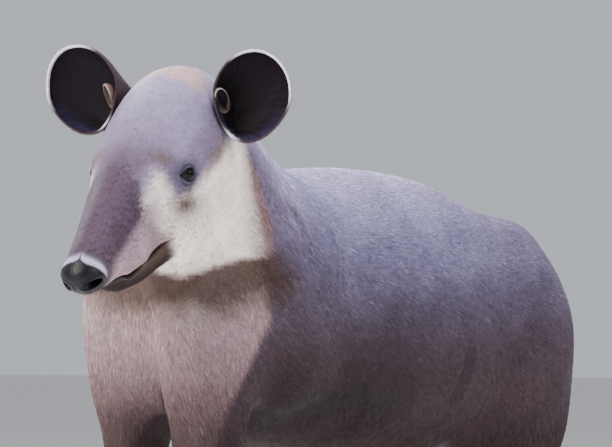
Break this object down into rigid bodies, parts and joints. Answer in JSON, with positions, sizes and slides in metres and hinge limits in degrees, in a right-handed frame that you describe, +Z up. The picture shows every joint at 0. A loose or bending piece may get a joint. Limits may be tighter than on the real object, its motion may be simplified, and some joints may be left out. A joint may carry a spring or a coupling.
{
  "type": "baird's tapir",
  "caption": "Life-size standing tapir with a raised head, cupped round ears, a short drooping trunk-like snout, a deep barrel body and a stub tail.",
  "frame": {"origin": "on the floor under the middle of the animal's bounding box", "axes": "-Y towards the head and the way the body faces, +X to the animal's left, +Z up from the floor"},
  "size_m": [0.4996, 1.5132, 0.9785],
  "materials": {
    "coat": "short dark grey-brown hair over hide",
    "pale_coat": "short cream and fawn hair over hide",
    "snout_skin": "short mauve-brown hair over soft skin",
    "ear_skin": "near-black hairy skin with a white rim",
    "eye": "wet, near black",
    "hoof": "dark horn, satin"
  },
  "bodies": {
    "root": {"ear_left": "ear_skin", "ear_right": "ear_skin", "eye_left": "eye", "eye_right": "eye", "head": "pale_coat", "hoof_fore_left_1": "hoof", "hoof_fore_left_2": "hoof", "hoof_fore_left_3": "hoof", "hoof_fore_left_4": "hoof", "hoof_fore_right_1": "hoof", "hoof_fore_right_2": "hoof", "hoof_fore_right_3": "hoof", "hoof_fore_right_4": "hoof", "hoof_hind_left_1": "hoof", "hoof_hind_left_2": "hoof", "hoof_hind_left_3": "hoof", "hoof_hind_right_1": "hoof", "hoof_hind_right_2": "hoof", "hoof_hind_right_3": "hoof", "leg_fore_left": "coat", "leg_fore_right": "coat", "leg_hind_left": "coat", "leg_hind_right": "coat", "lower_jaw": "snout_skin", "neck": "pale_coat", "proboscis": "snout_skin", "tail": "coat", "torso": "coat"}
  },
  "joints": []
}
